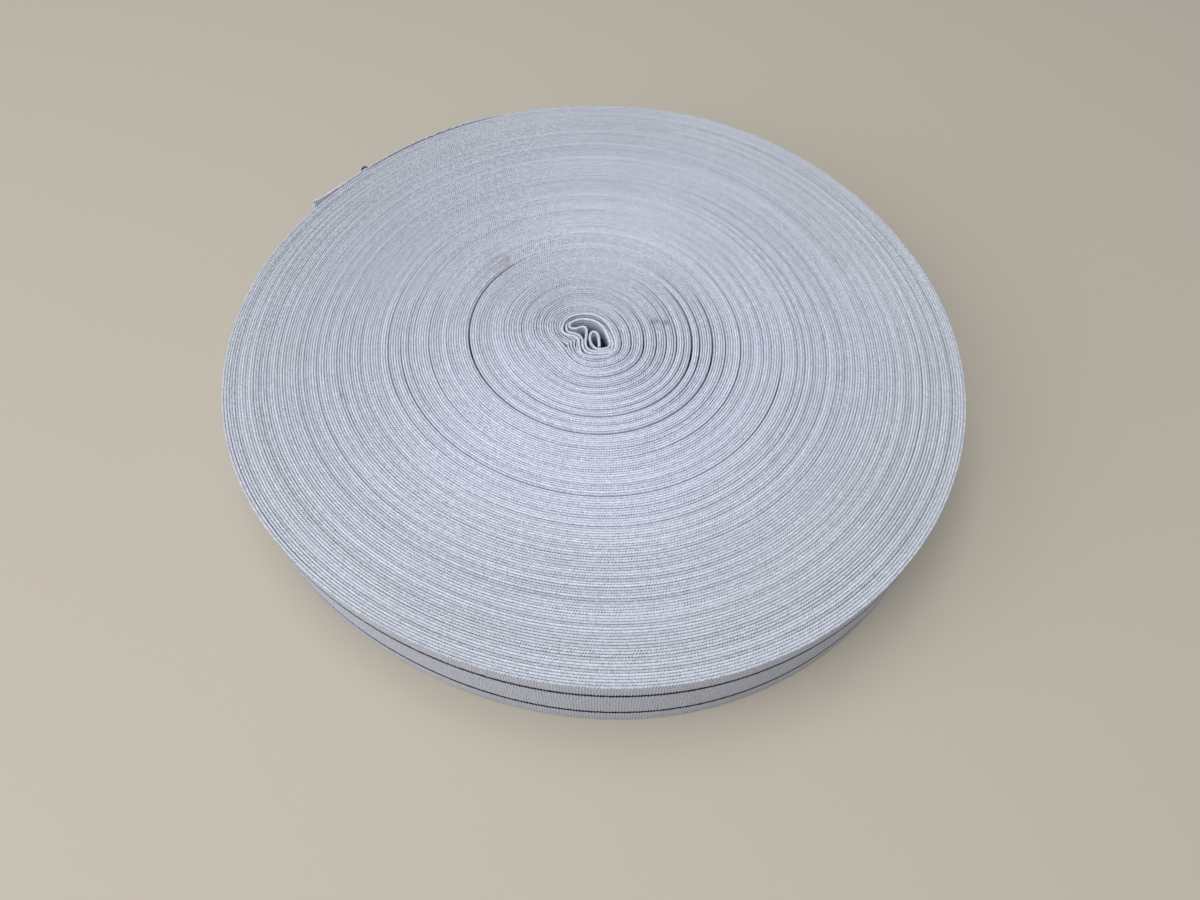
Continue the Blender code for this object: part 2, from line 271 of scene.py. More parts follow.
random_gaps = np.random.default_rng(11)
opening = np.full(len(stations), BASE_OPENING)
dip = np.zeros(len(stations))
for turn, opening_mm, start, end, fade in RING_GAPS:
    opening = opening + gap_along_spiral(turn, opening_mm * MM, start, end, fade)
for _ in range(SMALL_GAP_COUNT):
    turn = random_gaps.uniform(*SMALL_GAP_TURNS)
    start = random_gaps.uniform(0.0, 360.0)
    width = random_gaps.uniform(*SMALL_GAPS)
    end = start + random_gaps.uniform(*SMALL_GAP_REACH)
    opening = opening + gap_along_spiral(turn, width, start, end, SMALL_GAP_FADE)
for middle, spread, reach, widest, deepest in BUNCH_SIDES:
    for turn in np.arange(10.0, 132.0, BUNCH_TURNS):
        turn = turn + random_gaps.uniform(-0.9, 0.9)
        centre = middle + random_gaps.normal(0.0, spread)
        half = reach * random_gaps.uniform(0.6, 1.0)
        share = random_gaps.uniform(0.4, 1.0)
        opening = opening + gap_along_spiral(turn, widest * share * MM, centre - half, centre + half, 40.0)
        dip = dip + gap_along_spiral(turn, deepest * share * MM, centre - half, centre + half, 40.0)

rows = np.arange(row_count)
turns_between = rows[None, :] - rows[:, None]
press = np.where(turns_between >= 0, -0.5, 0.5) * np.exp(-np.abs(turns_between) / PRESS_FADE_TURNS)
opening_rows = opening.reshape(row_count, STEPS_PER_TURN)
shift_outer = (press @ (opening_rows - BASE_OPENING)).ravel()
shift_inner = np.roll(shift_outer + opening, STEPS_PER_TURN)
shift_inner[:STEPS_PER_TURN] = shift_outer[:STEPS_PER_TURN]
print("widest opening, mm:", round(opening.max() / MM, 2))

# %% [markdown]
# ## Height of each turn
#
# The tape stands on the surface, but no turn was pushed quite level with the next. Three things add up here:
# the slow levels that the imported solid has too, bunches of turns that were wound a little high or low, and
# the small wander of each turn by itself. The tape keeps its width, so where its upper edge is high its
# lower edge is off the surface by as much.

# %% Levels of the upper and lower edge
EDGE_LEVELS = [
    # turn, above nominal in mm
    (3, -0.2), (8, 0.1), (14, 0.3), (21, 0.0), (27, 0.3), (37, 0.0), (46, 0.35), (57, 0.1),
    (67, 0.4), (78, 0.0), (92, 0.3), (106, 0.0), (120, 0.25), (131, 0.05), (137, 0.0),
]
LEVEL_WAVE = 0.014 * MM
LEVEL_WAVES = 14
WANDER_LEVEL = 0.045 * MM
WANDER_KNOTS_PER_TURN = 9
BACK_QUIET = 0.35               # share of the waves and the wander that is left at the back
GAP_SINK = 0.35                 # how far the turn inside a gap sinks, as a share of its opening
NEXT_SINK = 0.6                 # how far the turn outside it sinks, as a share of that
DEEPEST_SINK = 0.20 * MM
RIM_FADE_TURNS = 3.0            # turns at the rim over which the levels fade away
FOOT_SLACK = 0.15 * MM          # a tape lifted by less than this still touches the surface


def between_knots(knots, per_turn):
    """Value along the spiral that eases from each knot to the next, the knots being evenly spread."""
    place = (station_turn - SPIRAL_START_TURN) * per_turn
    before = place.astype(int)
    return knots[before] + (knots[before + 1] - knots[before]) * ease(place - before)


random_levels = np.random.default_rng(23)
waves = np.zeros(len(stations))
for _ in range(LEVEL_WAVES):
    turns_long = random_levels.uniform(2.6, 9.0)
    lobes = random_levels.integers(-2, 3)
    phase = random_levels.uniform(0.0, 2.0 * math.pi)
    angle = 2.0 * math.pi * station_turn / turns_long + lobes * np.radians(station_degrees) + phase
    waves = waves + LEVEL_WAVE * np.sin(angle)

wander_knots = random_levels.normal(0.0, WANDER_LEVEL, row_count * WANDER_KNOTS_PER_TURN + 2)
waves = waves + between_knots(wander_knots, WANDER_KNOTS_PER_TURN)

backness = 0.5 + 0.5 * np.sin(np.radians(station_degrees))
level = np.interp(station_turn, [row[0] for row in EDGE_LEVELS], [row[1] * MM for row in EDGE_LEVELS])
level = level + waves * (1.0 - (1.0 - BACK_QUIET) * backness)
sink = np.minimum(GAP_SINK * (opening - BASE_OPENING), DEEPEST_SINK) + dip
level = level - sink - NEXT_SINK * np.roll(sink, STEPS_PER_TURN)
level = level * ease((TURNS + 0.4 - station_turn) / RIM_FADE_TURNS)
upper_edge = TAPE_WIDTH + level
lower_edge = np.maximum(level - FOOT_SLACK, 0.0)
print("upper edge between", round(upper_edge.min() / MM, 2), "and", round(upper_edge.max() / MM, 2), "mm")

# %% [markdown]
# A turn that stands a little proud catches the light as a bright line, and one that has sunk lies in the
# shade of its neighbours. The material paints both, as a painted highlight on the crest of a proud turn and
# painted shade on a sunk one. It can't see the neighbours, so each station stores how proud it is against the
# mean of the four turns around it. A second value stores how open the loops of its edge are, which differs
# from turn to turn and is most at the back, where the tape lies slackest.

# %% How proud each turn stands and how open its loops are
PROUD_UNIT = 0.10 * MM
LOOP_KNOTS_PER_TURN = 6
BACK_OPENER = 0.7               # how much more open the loops are at the back

level_rows = np.pad(level.reshape(row_count, STEPS_PER_TURN), ((2, 2), (0, 0)), mode="edge")
around_mean = sum(level_rows[2 + k:2 + k + row_count] for k in (-2, -1, 1, 2)) / 4.0
proud = np.clip((level_rows[2:-2] - around_mean) / PROUD_UNIT, -1.5, 1.5).ravel()

loop_knots = random_levels.uniform(0.25, 1.0, row_count * LOOP_KNOTS_PER_TURN + 2)
loops = between_knots(loop_knots, LOOP_KNOTS_PER_TURN) * (1.0 + BACK_OPENER * backness)
print("proud turns:", round(float((proud > 0.5).mean()), 2), "of the length")

# %% [markdown]
# ## Sweeping the tape
#
# A tape on edge is a closed section carried along a path: up its inner face, over the rounded upper edge,
# down the outer face and under the lower edge. The section is a table of shares across the thickness, and
# the crown between them is a superellipse. The two faces of the path may be any distance apart, so a
# pressed turn comes out thinner. The mesh also gets a UV map in metres, with the length of the tape as U and
# the way round the section as V, and numbers that the material reads: the place across the thickness, the
# tone of the turn, how proud it stands and how open its loops are.

# %% Section and sweep
CROWN_DROP = 0.45 * MM
CROWN_POWER = 2.2
UPPER_SHARES = np.array([-1.0, -0.9, -0.6, 0.0, 0.6, 0.9, 1.0])
LOWER_SHARES = np.array([1.0, 0.75, 0.0, -0.75, -1.0])


def crown(across):
    """Drop of a rounded edge, full at the faces: height * (1 - (1 - |across|^power)^(1 / power))."""
    return CROWN_DROP * (1.0 - (1.0 - np.abs(across) ** CROWN_POWER) ** (1.0 / CROWN_POWER))


def path_length(path):
    """Distance along a path of plan points, starting from 0."""
    steps = np.linalg.norm(np.diff(path, axis=0), axis=1)
    return np.concatenate([[0.0], np.cumsum(steps)])


def grid_faces(along, around):
    """Corner numbers of a tube of quads: along rings of points, each closed on itself."""
    ring = np.arange(along - 1)[:, None] * around
    here = np.arange(around)
    there = (here + 1) % around
    corners = [ring + here, ring + there, ring + there + around, ring + here + around]
    return np.stack(corners, axis=-1).reshape(-1, 4)


def end_caps(along, around):
    """Corner numbers of the two polygons that close the first and the last ring of such a tube."""
    return [np.arange(around)[::-1], (along - 1) * around + np.arange(around)]


def mesh_piece(name, points, quads, caps, sharp_degrees=60.0):
    """Mesh object from arrays of points, quads and end polygons, smooth except at sharp edges."""
    mesh = bpy.data.meshes.new(name)
    corners = np.concatenate([quads.ravel()] + [np.asarray(cap) for cap in caps]).astype(np.int32)
    sizes = np.concatenate([np.full(len(quads), 4), [len(cap) for cap in caps]]).astype(np.int32)
    starts = np.concatenate([[0], np.cumsum(sizes)[:-1]]).astype(np.int32)
    mesh.vertices.add(len(points))
    mesh.vertices.foreach_set("co", np.asarray(points, dtype=np.float32).ravel())
    mesh.loops.add(len(corners))
    mesh.loops.foreach_set("vertex_index", corners)
    mesh.polygons.add(len(sizes))
    mesh.polygons.foreach_set("loop_start", starts)
    mesh.update(calc_edges=True)
    mesh.validate()
    mesh.shade_smooth()
    mesh.set_sharp_from_angle(angle=math.radians(sharp_degrees))
    return add_object(name, mesh)


def set_point_values(mesh, name, values):
    """Store one number for each vertex under a name."""
    values = np.asarray(values, dtype=np.float32).ravel()
    mesh.attributes.new(name, "FLOAT", "POINT").data.foreach_set("value", values)


def set_uv(mesh, quad_uv, cap_uv):
    """Store a UV pair for each face corner: those of the quads first, then those of the end polygons."""
    uv = np.concatenate([quad_uv.reshape(-1, 2), cap_uv.reshape(-1, 2)]).astype(np.float32)
    mesh.uv_layers.new(name="tape").data.foreach_set("uv", uv.ravel())


def sweep_tape(name, inner, outer, upper, lower, along, values, face_rows=1):
    """Closed tape on edge between two plan paths.

    point = inner + (outer - inner) * share, at the upper edge less the crown or the lower edge plus it, with
    the given number of rows on each face between the edges. Each named value has a number for every station.
    """
    upper_drop = crown(UPPER_SHARES)
    lower_drop = crown(LOWER_SHARES)
    rise = np.arange(1, face_rows) / face_rows
    across = np.concatenate([UPPER_SHARES, np.ones(face_rows - 1), LOWER_SHARES, -np.ones(face_rows - 1)])
    top = (upper - upper_drop[0])[:, None]
    foot = (lower + lower_drop[0])[:, None]
    height = np.hstack([
        upper[:, None] - upper_drop,
        top + (foot - top) * rise,
        lower[:, None] + lower_drop,
        foot + (top - foot) * rise,
    ])
    share = 0.5 + 0.5 * across
    plan = inner[:, None, :] + (outer - inner)[:, None, :] * share[None, :, None]
    points = np.concatenate([plan + roll_centre, height[:, :, None]], axis=-1)
    count, around = height.shape
    quads = grid_faces(count, around)
    piece = mesh_piece(name, points.reshape(-1, 3), quads, end_caps(count, around))

    way_round = path_length(np.vstack([points[0], points[0, :1]]))
    first = np.repeat(np.arange(count - 1), around)
    here = np.tile(np.arange(around), count - 1)
    corner_along = along[first[:, None] + np.array([0, 0, 1, 1])]
    corner_round = way_round[here[:, None] + np.array([0, 1, 1, 0])]
    cap_uv = np.stack([np.concatenate([np.full(around, along[0]), np.full(around, along[-1])]),
                       np.concatenate([way_round[:-1][::-1], way_round[:-1]])], axis=-1)
    set_uv(piece.data, np.stack([corner_along, corner_round], axis=-1), cap_uv)
    set_point_values(piece.data, "across", np.tile(across, count))
    for label, numbers in values.items():
        set_point_values(piece.data, label, np.repeat(numbers, around))
    print(name, "triangles:", 2 * len(quads) + 2 * (around - 2))
    return piece


# %% [markdown]
# ## The wound turns
#
# The faces of all the turns follow from the plan, the openings and the shifts. The eye's folded turns push
# the first ones out at the lower right, so a bulge is added there that fades outwards. The spiral is too
# long for one mesh, so it is cut into stretches that meet end to end, and the last turns, whose outer face
# shows, get more rows on their faces.

# %% Wound turns as meshes
EYE_BULGE = 2.05 * MM
EYE_BULGE_ANGLE = 322.0
EYE_BULGE_HALF_WIDTH = 17.0
EYE_BULGE_FADE_TURNS = 25.0
EYE_TUCK = 1.0 * MM
EYE_TUCK_ANGLE = 210.0
EYE_TUCK_HALF_WIDTH = 8.0
EYE_TUCK_FADE_TURNS = 5.0
BACK_PAINTED_SHADE = 1.0               # painted shade: how much darker the tape is drawn at the back of the roll
STRETCHES = [
    # name, up to turn, rows on each face
    ("turns_inner", 40.0, 1),
    ("turns_middle", 74.0, 1),
    ("turns_wide", 106.0, 1),
    ("turns_outer", 133.0, 1),
    ("turns_rim", 137.0, 6),
]


def winding_face(turn, degrees, shift):
    """Plan of a face of the winding: the turn's plan moved outwards by the shift and by the eye's bulge.

    The folds at the left of the eye tuck the first turns in, which fades as exp(-turns / fade turns).
    """
    bulge = EYE_BULGE * bell(angle_between(degrees, EYE_BULGE_ANGLE), EYE_BULGE_HALF_WIDTH)
    bulge = bulge / (1.0 + (turn - EYE_TURNS) / EYE_BULGE_FADE_TURNS)
    tuck = EYE_TUCK * bell(angle_between(degrees, EYE_TUCK_ANGLE), EYE_TUCK_HALF_WIDTH)
    tuck = tuck * np.exp(-(turn - EYE_TURNS) / EYE_TUCK_FADE_TURNS)
    return turn_face(turn, degrees) + (shift + bulge - tuck)[:, None] * outward(degrees)


outer_face = winding_face(station_turn, station_degrees, shift_outer)
inner_face = winding_face(station_turn - 1.0, station_degrees, shift_inner)
middle_line = 0.5 * (outer_face + inner_face)
tape_along = path_length(middle_line)
random_tones = np.random.default_rng(5)
tone_knots = random_tones.uniform(0.0, 1.0, row_count * 3 + 3)
station_tone = np.interp(station_turn * 3.0, np.arange(len(tone_knots)) + 3.0 * SPIRAL_START_TURN, tone_knots)
# painted shade: the turns are drawn darker towards the back of the roll
station_tone = station_tone - BACK_PAINTED_SHADE * backness

wound_pieces = []
start = 0
for name, last_turn, face_rows in STRETCHES:
    end = min(round((last_turn - SPIRAL_START_TURN) * STEPS_PER_TURN), station_count - 1)
    part = slice(start, end + 1)
    values = {"tone": station_tone[part], "proud": proud[part], "loops": loops[part]}
    lines = [line[part] for line in (inner_face, outer_face, upper_edge, lower_edge, tape_along)]
    wound_pieces.append(sweep_tape(name, *lines, values, face_rows))
    start = end
print("tape in the winding, m:", round(tape_along[station_count - 1], 1))

# %% [markdown]
# ## The folded eye
#
# Where the winding began, the tape was folded over and over and then slipped, so the eye is a crumple of
# loops round a crescent hollow. No formula gives such folds. The line is a list of points read off one
# after the other along the tape, from its free inner end to the first round turn, and a smooth curve is
# passed through them. A third column lowers the upper edge where the tape has sunk.

# %% Folded eye
EYE_THICKNESS = (1.16 * MM, 1.0 * MM)      # at the free inner end, and where the round turns begin
EYE_CURVE_STEPS = 4
EYE_ALONG_START = 0.2           # in m, which sets its weave off from that of the turns beside it
EYE_LINE = [
    # x and y of the tape's middle and how far it has sunk, in mm, from the middle of the roll
    (2.45, -10.6, 0.3), (2.45, -9.0, 0.3), (2.35, -6.5, 0.2), (2.1, -4.6, 0.2), (1.4, -3.1, 0.1),
    (0.2, -2.3, 0.1), (-0.9, -2.9, 0.1), (-1.5, -4.4, 0.2), (-1.55, -6.3, 0.3), (-1.2, -8.2, 0.3),
    (-0.3, -10.0, 0.3), (0.9, -11.5, 0.2), (2.6, -12.1, 0.1), (4.6, -11.9, 0.0), (6.3, -11.2, 0.0),
    (7.1, -9.4, 0.0), (6.8, -7.2, 0.0), (6.1, -4.8, 0.0), (5.2, -2.1, 0.1), (4.0, 0.6, 0.2),
    (2.2, 2.8, 0.3), (-0.3, 4.4, 0.3), (-3.2, 5.1, 0.3), (-6.2, 4.9, 0.3), (-8.7, 3.9, 0.3),
    (-10.2, 2.2, 0.2), (-10.3, 0.4, 0.1), (-9.0, -0.5, 0.0), (-7.2, -0.4, 0.0), (-5.6, 0.4, 0.1),
    (-4.3, 0.55, 0.1), (-3.3, -0.3, 0.1), (-2.95, -2.0, 0.1), (-3.05, -4.2, 0.1), (-3.35, -6.5, 0.1),
    (-3.45, -8.8, 0.1), (-3.0, -10.9, 0.1), (-1.7, -12.6, 0.1), (0.4, -13.3, 0.0), (3.0, -13.4, 0.0),
    (5.6, -13.1, 0.0), (7.6, -11.9, 0.0), (8.3, -9.5, 0.0), (8.1, -8.0, 0.1), (7.7, -6.0, 0.3),
    (6.8, -3.0, 0.7), (5.65, 0.0, 1.4), (4.4, 2.6, 2.1), (2.4, 4.7, 2.5), (-0.2, 6.2, 2.5),
    (-3.0, 6.7, 2.5), (-6.0, 6.5, 2.5), (-8.9, 5.5, 2.3), (-10.9, 4.0, 1.6), (-11.75, 2.2, 0.8),
    (-11.75, 0.0, 0.2), (-11.4, -1.6, 0.0), (-10.2, -2.8, 0.0), (-8.5, -3.2, 0.0), (-7.0, -3.8, 0.0),
    (-5.7, -5.0, 0.0), (-4.75, -7.0, 0.0), (-4.7, -9.5, 0.0), (-4.3, -11.6, 0.0), (-3.0, -13.6, 0.0),
    (-0.8, -14.5, 0.0), (2.0, -14.6, 0.0), (5.0, -14.4, 0.0), (7.8, -13.4, 0.0), (9.3, -11.2, 0.0),
    (9.45, -8.6, 0.0), (9.1, -6.0, 0.0), (8.2, -2.8, 0.0), (7.0, 0.5, 0.0), (5.3, 3.6, 0.0),
    (2.8, 6.0, 0.0), (-0.3, 7.5, 0.0), (-4.0, 7.95, 0.0), (-7.6, 7.4, 0.0), (-10.6, 5.9, 0.0),
    (-12.6, 3.6, 0.0), (-13.4, 1.0, 0.0), (-13.5, -0.6, 0.0), (-13.1, -2.3, 0.0), (-12.0, -3.6, 0.0),
    (-10.0, -4.3, 0.0), (-8.0, -4.9, 0.0), (-6.8, -6.0, 0.0), (-6.2, -8.0, 0.0), (-6.1, -10.0, 0.0),
    (-5.8, -12.1, 0.0), (-5.0, -14.2, 0.0),
]


def smooth_curve(points, steps):
    """Catmull-Rom curve through the points: a cubic for each span from its four nearest points."""
    points = np.asarray(points, dtype=float)
    spans = len(points) - 1
    span = np.repeat(np.arange(spans), steps)
    t = np.tile(np.arange(steps) / steps, spans)[:, None]
    before, start, end, after = [points[np.clip(span + k, 0, spans)] for k in (-1, 0, 1, 2)]
    curve = 0.5 * (2.0 * start + (end - before) * t
                   + (2.0 * before - 5.0 * start + 4.0 * end - after) * t ** 2
                   + (3.0 * start - before - 3.0 * end + after) * t ** 3)
    return np.vstack([curve, points[-1]])


def left_normals(path):
    """Unit vectors to the left of a path: its direction turned by a quarter."""
    along = np.gradient(path, axis=0)
    along = along / np.linalg.norm(along, axis=1, keepdims=True)
    return np.stack([-along[:, 1], along[:, 0]], axis=-1)


join = np.append(middle_line[0] / MM, (TAPE_WIDTH - upper_edge[0]) / MM)
eye_curve = smooth_curve(np.vstack([EYE_LINE, join]), EYE_CURVE_STEPS) * MM
eye_plan = eye_curve[:, :2]
eye_side = left_normals(eye_plan)
join_width = np.linalg.norm(inner_face[0] - outer_face[0])
eye_side[-1] = (inner_face[0] - outer_face[0]) / join_width
eye_half = 0.5 * np.linspace(*EYE_THICKNESS, len(eye_plan))
eye_half[-1] = 0.5 * join_width
eye_out = eye_side * eye_half[:, None]
eye_along = path_length(eye_plan) + EYE_ALONG_START
eye_upper = TAPE_WIDTH - eye_curve[:, 2]
eye_lower = np.full(len(eye_plan), lower_edge[0])
eye_values = {
    "tone": 0.5 + 0.3 * np.sin(eye_along / (9.0 * MM)),
    "proud": 0.5 * np.sin(eye_along / (6.0 * MM)),
    "loops": np.full(len(eye_plan), 0.5),
}
eye_folds = sweep_tape("eye_folds", eye_plan + eye_out, eye_plan - eye_out, eye_upper, eye_lower, eye_along,
                       eye_values, face_rows=6)

# %% [markdown]
# ## The loose end
#
# The last stretch of the tape leaves the winding, hugs it as far as the pin and then springs away from it.
# It is a sheet of cloth on edge, so it is swept as the turns are, with its distance from the winding given
# by a short table. Its root takes up the last turn without a step.

# %% Loose end
END_STAND_OFF = [
    # degrees, distance from the winding in mm
    (106.0, 0.03),
    (108.0, 0.25),
    (114.0, 0.85),
    (126.0, 1.05),
    (134.0, 0.65),
    (138.0, 0.45),
    (142.0, 0.5),
    (145.0, 1.1),
    (147.2, 1.9),
    (149.1, 3.4),
]
END_STEPS = 40
END_TURN = TURNS - 1.0
END_PAINTED_LIGHT = 2.6                 # painted light: how much brighter the tape is drawn towards its cut, where its inner face is in shade
END_LOOPS = 0.9                 # how open the loops of the loose end are
PICK_PITCH = 1.07 * MM          # from one weft row to the next
LOOP_SWELL = 0.30 * MM

last = station_count - 1
end_stations = smooth_curve(END_STAND_OFF, END_STEPS)
end_degrees = end_stations[:, 0]
end_surface = turn_face(END_TURN + (end_degrees - END_ROOT_ANGLE) / 360.0, end_degrees)
end_surface = end_surface + shift_outer[last] * outward(end_degrees)
end_inner = end_surface - left_normals(end_surface) * end_stations[:, 1:] * MM
end_inner[0] = inner_face[last]
end_outer = end_inner - left_normals(end_inner) * TAPE_THICKNESS
end_outer[0] = outer_face[last]
end_along = path_length(end_inner) + tape_along[last]
end_reach = (end_degrees - END_ROOT_ANGLE) / (END_STAND_OFF[-1][0] - END_ROOT_ANGLE)
end_swell = LOOP_SWELL * np.cos(2.0 * math.pi * end_along / PICK_PITCH) * ease(12.0 * end_reach)
end_upper = upper_edge[last] + 0.05 * MM * np.sin(9.0 * end_reach) + end_swell
end_values = {
    # painted light: the tone rises towards the cut
    "tone": station_tone[last] + END_PAINTED_LIGHT * ease((end_reach - 0.65) / 0.3),
    "proud": np.full(len(end_along), proud[last]),
    "loops": loops[last] + (END_LOOPS - loops[last]) * ease(4.0 * end_reach),
}
loose_end = sweep_tape("loose_end_tape", end_inner, end_outer, end_upper, np.zeros(len(end_along)),
                       end_along, end_values, face_rows=8)
print("loose end, mm:", round((end_along[-1] - end_along[0]) / MM, 1))

# %% [markdown]
# The tape was cut with scissors, so its weft yarns have come loose along the cut: a fringe of short pale
# hairs down the whole cut, longest at its two corners. Each is a thin closed tube on a curve that starts
# inside the cloth, runs out and droops sideways: root + way out * t + bend * t squared.

# %% Frayed yarns of the cut end
YARN_COUNT = 110
YARN_RADIUS = 0.19 * MM
YARN_LENGTHS = (0.6 * MM, 2.0 * MM)
YARN_RINGS = 6
YARN_SIDES = 6

random_yarns = np.random.default_rng(41)
way_out = end_inner[-1] - end_inner[-2]
way_out = np.append(way_out / np.linalg.norm(way_out), 0.0)
sideways = np.append(end_outer[-1] - end_inner[-1], 0.0) / TAPE_THICKNESS
share = np.sort(random_yarns.uniform(0.0, 1.0, YARN_COUNT)) ** 0.8
across = random_yarns.uniform(-0.1, 1.1, YARN_COUNT)
root = np.append(end_inner[-1] + roll_centre, 0.0) - 0.4 * MM * way_out
root = root + (across * TAPE_THICKNESS)[:, None] * sideways
root[:, 2] = 0.4 * MM + share * (end_upper[-1] - 0.7 * MM)
corner = bell(share - 1.0, 0.05) + bell(share, 0.04)
length = random_yarns.uniform(*YARN_LENGTHS, YARN_COUNT) * (1.0 + 0.5 * corner)
bend = random_yarns.normal(0.0, 0.45, (YARN_COUNT, 3)) * length[:, None]
bend = bend - (0.25 * length)[:, None] * sideways
t = np.linspace(0.0, 1.0, YARN_RINGS)
line = root[:, None, :] + way_out * (length[:, None] * t)[..., None]
line = line + bend[:, None, :] * (t ** 2)[None, :, None]
line[..., 2] = np.clip(line[..., 2], 0.15 * MM, None)
round_angle = np.arange(YARN_SIDES) * 2.0 * math.pi / YARN_SIDES
ring = np.cos(round_angle)[:, None] * sideways + np.sin(round_angle)[:, None] * np.array([0.0, 0.0, 1.0])
taper = YARN_RADIUS * (1.0 - 0.6 * t ** 2)
yarn_points = line[:, :, None, :] + taper[None, :, None, None] * ring
tube = grid_faces(YARN_RINGS, YARN_SIDES)[:, ::-1]
tube_size = YARN_RINGS * YARN_SIDES
yarn_quads = (tube[None] + (np.arange(YARN_COUNT) * tube_size)[:, None, None]).reshape(-1, 4)
tube_caps = [cap[::-1] for cap in end_caps(YARN_RINGS, YARN_SIDES)]
yarn_caps = [cap + k * tube_size for k in range(YARN_COUNT) for cap in tube_caps]
frayed_yarns = mesh_piece("frayed_yarns", yarn_points.reshape(-1, 3), yarn_quads, yarn_caps)
print("frayed yarns:", YARN_COUNT, "quads:", len(yarn_quads))

# %% [markdown]
# ## The pin
#
# A ball-headed pin holds the end. Its ball is a glossy dark blue bead that rests on the tape just under the
# upper edge, so from the front only a sickle of it shows. The bead is a sphere on a grid of two angles, made
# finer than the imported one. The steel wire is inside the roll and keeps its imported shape.

# %% Pin's bead
BEAD_RADIUS = 2.3 * MM
BEAD_ROUND_STEPS = 48
BEAD_RISE_STEPS = 24

bead_low, bead_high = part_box("pin_head")
bead_centre = 0.5 * (np.array(bead_low) + np.array(bead_high))
rise = np.linspace(-0.5 * math.pi, 0.5 * math.pi, BEAD_RISE_STEPS + 1)[1:-1]
turned = np.arange(BEAD_ROUND_STEPS) * 2.0 * math.pi / BEAD_ROUND_STEPS
ball = np.stack([np.outer(np.cos(rise), np.cos(turned)), np.outer(np.cos(rise), np.sin(turned)),
                 np.outer(np.sin(rise), np.ones(BEAD_ROUND_STEPS))], axis=-1)
bead_points = bead_centre + BEAD_RADIUS * ball.reshape(-1, 3)
bead_quads = grid_faces(len(rise), BEAD_ROUND_STEPS)
bead = mesh_piece("pin_bead", bead_points, bead_quads, end_caps(len(rise), BEAD_ROUND_STEPS))
print("bead centre, mm:", np.round(bead_centre / MM, 1))

# %% [markdown]
# ## Building blocks for materials
#
# A material is a tree of nodes, and most of them only add or multiply. A small class lets such sums be
# written as plain formulas, in which each sign adds its Math node, and short helpers add the other nodes. A
# plain number given to a helper is set on the socket, and a value from the tree is linked to it.

# %% Node helpers
class Value:
    """A value in a node tree. The signs + - * / after it, and a minus before it, add Math nodes."""

    def __init__(self, tree, socket):
        self.tree = tree
        self.socket = socket

    def __add__(self, other):
        return calc("ADD", self, other)

    def __sub__(self, other):
        return calc("SUBTRACT", self, other)

    def __rsub__(self, other):
        return calc("SUBTRACT", other, self)

    def __mul__(self, other):
        return calc("MULTIPLY", self, other)

    def __truediv__(self, other):
        return calc("DIVIDE", self, other)


def feed(socket, value):
    """Link a value of the tree into an input, or set the input to a plain value."""
    if isinstance(value, Value):
        value.tree.links.new(value.socket, socket)
    else:
        socket.default_value = value


def feed_all(node, **inputs):
    """Feed the inputs of a node by name, written with _ for a space."""
    for key, value in inputs.items():
        feed(node.inputs[key.replace("_", " ")], value)


def calc(operation, *values):
    """Result of a Math node on numbers of which at least one is from the tree."""
    tree = next(value.tree for value in values if isinstance(value, Value))
    node = tree.nodes.new("ShaderNodeMath")
    node.operation = operation
    for socket, value in zip(node.inputs, values):
        feed(socket, value)
    return Value(tree, node.outputs[0])


def add_value(tree, kind, output, settings=None, **inputs):
    """Add a node, set its options, feed its inputs and give back one output."""
    node = tree.nodes.new(kind)
    for key, value in (settings or {}).items():
        setattr(node, key, value)
    feed_all(node, **inputs)
    return Value(tree, node.outputs[output])


def fade(value, low, high, start=0.0, end=1.0):
    """Smooth step from start to end as a value goes from low to high."""
    return add_value(value.tree, "ShaderNodeMapRange", "Result", {"interpolation_type": "SMOOTHSTEP"},
                     Value=value, From_Min=low, From_Max=high, To_Min=start, To_Max=end)


def noise(place, scale, detail, dimensions="3D"):
    """Noise about a half, with its scale in waves for a metre."""
    return add_value(place.tree, "ShaderNodeTexNoise", "Fac", {"noise_dimensions": dimensions},
                     Vector=place, Scale=scale, Detail=detail)


def axis(place, name):
    """The X, Y or Z of a place."""
    return add_value(place.tree, "ShaderNodeSeparateXYZ", name, Vector=place)


def stored(tree, name):
    """The number that the mesh stores under a name."""
    return add_value(tree, "ShaderNodeAttribute", "Fac", {"attribute_name": name})


def object_place(tree):
    """The place of a point in the object's own coordinates."""
    return add_value(tree, "ShaderNodeTexCoord", "Object")


def tape_place(tree):
    """The place on the tape: its length as X and the way round its section as Y."""
    return add_value(tree, "ShaderNodeUVMap", "UV", {"uv_map": "tape"})


def blend_colours(tree, share, first, second, mode="MIX"):
    """Colour mix of two colours by a share."""
    node = tree.nodes.new("ShaderNodeMix")
    node.data_type = "RGBA"
    node.blend_type = mode
    colours = [socket for socket in node.inputs if socket.type == "RGBA"]
    feed(node.inputs["Factor"], share)
    feed(colours[0], first)
    feed(colours[1], second)
    return Value(tree, [socket for socket in node.outputs if socket.type == "RGBA"][0])


def by_name(tree, sockets):
    """Sockets as values under their names."""
    return {socket.name: Value(tree, socket) for socket in sockets}


def new_group(name, inputs, outputs):
    """Shader node group with named inputs, numbers or vectors by their defaults, and named number outputs."""
    group = bpy.data.node_groups.new(name, "ShaderNodeTree")
    for label, default in inputs.items():
        kind = "NodeSocketVector" if isinstance(default, tuple) else "NodeSocketFloat"
        group.interface.new_socket(label, in_out="INPUT", socket_type=kind).default_value = default
    for label in outputs:
        group.interface.new_socket(label, in_out="OUTPUT", socket_type="NodeSocketFloat")
    entry = group.nodes.new("NodeGroupInput")
    return group, by_name(group, entry.outputs), group.nodes.new("NodeGroupOutput")


def use_group(tree, group, **inputs):
    """Place a group in a material, feed its inputs and give back its outputs by name."""
    node = tree.nodes.new("ShaderNodeGroup")
    node.node_tree = group
    feed_all(node, **inputs)
    return by_name(tree, node.outputs)


